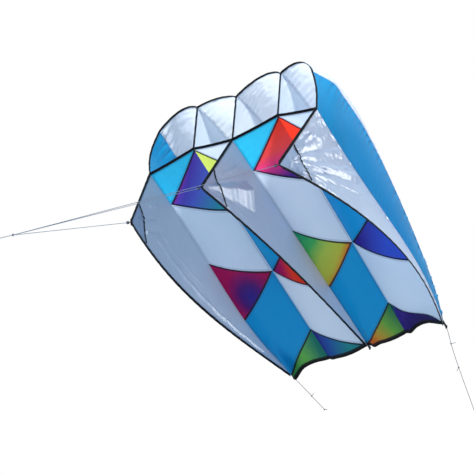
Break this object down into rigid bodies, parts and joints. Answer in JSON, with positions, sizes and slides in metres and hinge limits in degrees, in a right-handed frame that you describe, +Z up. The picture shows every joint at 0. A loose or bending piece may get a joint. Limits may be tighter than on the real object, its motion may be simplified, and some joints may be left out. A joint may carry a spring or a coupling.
{
  "type": "parafoil kite",
  "caption": "Soft single-line kite with ram-air cells between ribs, a patchwork bottom skin, keels under it, a bridle gathered to a tow loop and short tail lines.",
  "frame": {"origin": "the point in the tow loop where the flying line bears", "axes": "+Y along the chord from the leading edge to the trailing edge, +X across the span to the kite's right cell, +Z up through the canopy"},
  "size_m": [0.7214, 1.8319, 1.7149],
  "materials": {
    "white_ripstop": "translucent ripstop nylon with a soft sheen",
    "cyan_ripstop": "translucent ripstop nylon",
    "blue_ripstop": "translucent ripstop nylon",
    "dyed_ripstop": "ripstop nylon with a printed colour gradient",
    "edge_tape": "folded black polyester tape",
    "webbing": "black woven webbing",
    "bridle_cord": "pale braided polyester line",
    "tail_cord": "grey braided polyester line"
  },
  "bodies": {
    "canopy": {"top_panel_1": "white_ripstop", "top_panel_2": "white_ripstop", "top_panel_3": "white_ripstop", "top_panel_4": "white_ripstop", "bottom_panel_1a": "cyan_ripstop", "bottom_panel_1b": "dyed_ripstop", "bottom_panel_1c": "white_ripstop", "bottom_panel_1d": "dyed_ripstop", "bottom_panel_1e": "blue_ripstop", "bottom_panel_1f": "dyed_ripstop", "bottom_panel_2a": "white_ripstop", "bottom_panel_2b": "dyed_ripstop", "bottom_panel_2c": "blue_ripstop", "bottom_panel_2d": "dyed_ripstop", "bottom_panel_2e": "white_ripstop", "bottom_panel_2f": "dyed_ripstop", "bottom_panel_3a": "cyan_ripstop", "bottom_panel_3b": "dyed_ripstop", "bottom_panel_3c": "white_ripstop", "bottom_panel_3d": "dyed_ripstop", "bottom_panel_3e": "blue_ripstop", "bottom_panel_3f": "dyed_ripstop", "bottom_panel_4a": "white_ripstop", "bottom_panel_4b": "dyed_ripstop", "bottom_panel_4c": "blue_ripstop", "bottom_panel_4d": "dyed_ripstop", "bottom_panel_4e": "white_ripstop", "bottom_panel_4f": "dyed_ripstop", "rib_0": "blue_ripstop", "rib_1": "white_ripstop", "rib_2": "white_ripstop", "rib_3": "white_ripstop", "rib_4": "blue_ripstop", "mouth_top_tape": "edge_tape", "mouth_bottom_tape": "edge_tape", "rib_front_tapes": "edge_tape", "trailing_tape": "edge_tape", "tail_tabs": "webbing"},
    "keel_left": {"keel_left": "white_ripstop", "keel_tape_left": "edge_tape", "corner_patch_left": "white_ripstop", "keel_loop_left": "webbing"},
    "keel_centre": {"keel_centre": "white_ripstop", "keel_tape_centre": "edge_tape", "corner_patch_centre": "white_ripstop", "keel_loop_centre": "webbing"},
    "keel_right": {"keel_right": "white_ripstop", "keel_tape_right": "edge_tape", "corner_patch_right": "white_ripstop", "keel_loop_right": "webbing"},
    "leg_hitches": {"leg_hitches": "bridle_cord"},
    "bridle": {"bridle_leg_left": "bridle_cord", "bridle_leg_centre": "bridle_cord", "bridle_leg_right": "bridle_cord", "bridle_knot": "bridle_cord", "tow_line": "bridle_cord"},
    "tail_left": {"tail_line_left": "tail_cord"},
    "tail_right": {"tail_line_right": "tail_cord"}
  },
  "joints": [
    {"name": "keel_sway", "type": "hinge", "parent": "canopy", "child": "keel_centre", "pos_m": [0, 0.656, 1.398], "axis": [0, -1, 0], "range_deg": [-15, 15]},
    {"name": "keel_left_sway", "type": "hinge", "parent": "canopy", "child": "keel_left", "pos_m": [-0.318, 0.656, 1.398], "axis": [0, -1, 0], "range_deg": [-15, 15]},
    {"name": "keel_right_sway", "type": "hinge", "parent": "canopy", "child": "keel_right", "pos_m": [0.318, 0.656, 1.398], "axis": [0, -1, 0], "range_deg": [-15, 15]},
    {"name": "bridle_level", "type": "hinge", "parent": "keel_centre", "child": "leg_hitches", "pos_m": [0, 0.594, 1.04422], "axis": [0, -1, 0], "range_deg": [-18, 18]},
    {"name": "bridle_swing", "type": "hinge", "parent": "leg_hitches", "child": "bridle", "pos_m": [0, 0.6025, 1.04422], "axis": [1, 0, 0], "range_deg": [-30, 45]},
    {"name": "tail_left_swing", "type": "hinge", "parent": "canopy", "child": "tail_left", "pos_m": [-0.298, 1.578, 1.398], "axis": [1, 0, 0], "range_deg": [-50, 40]},
    {"name": "tail_right_swing", "type": "hinge", "parent": "canopy", "child": "tail_right", "pos_m": [0.298, 1.578, 1.398], "axis": [1, 0, 0], "range_deg": [-40, 55]}
  ],
  "couplings": [
    {"joint": "keel_left_sway", "follows": "keel_sway", "ratio": 1},
    {"joint": "keel_right_sway", "follows": "keel_sway", "ratio": 1},
    {"joint": "bridle_level", "follows": "keel_sway", "ratio": -1.193}
  ]
}
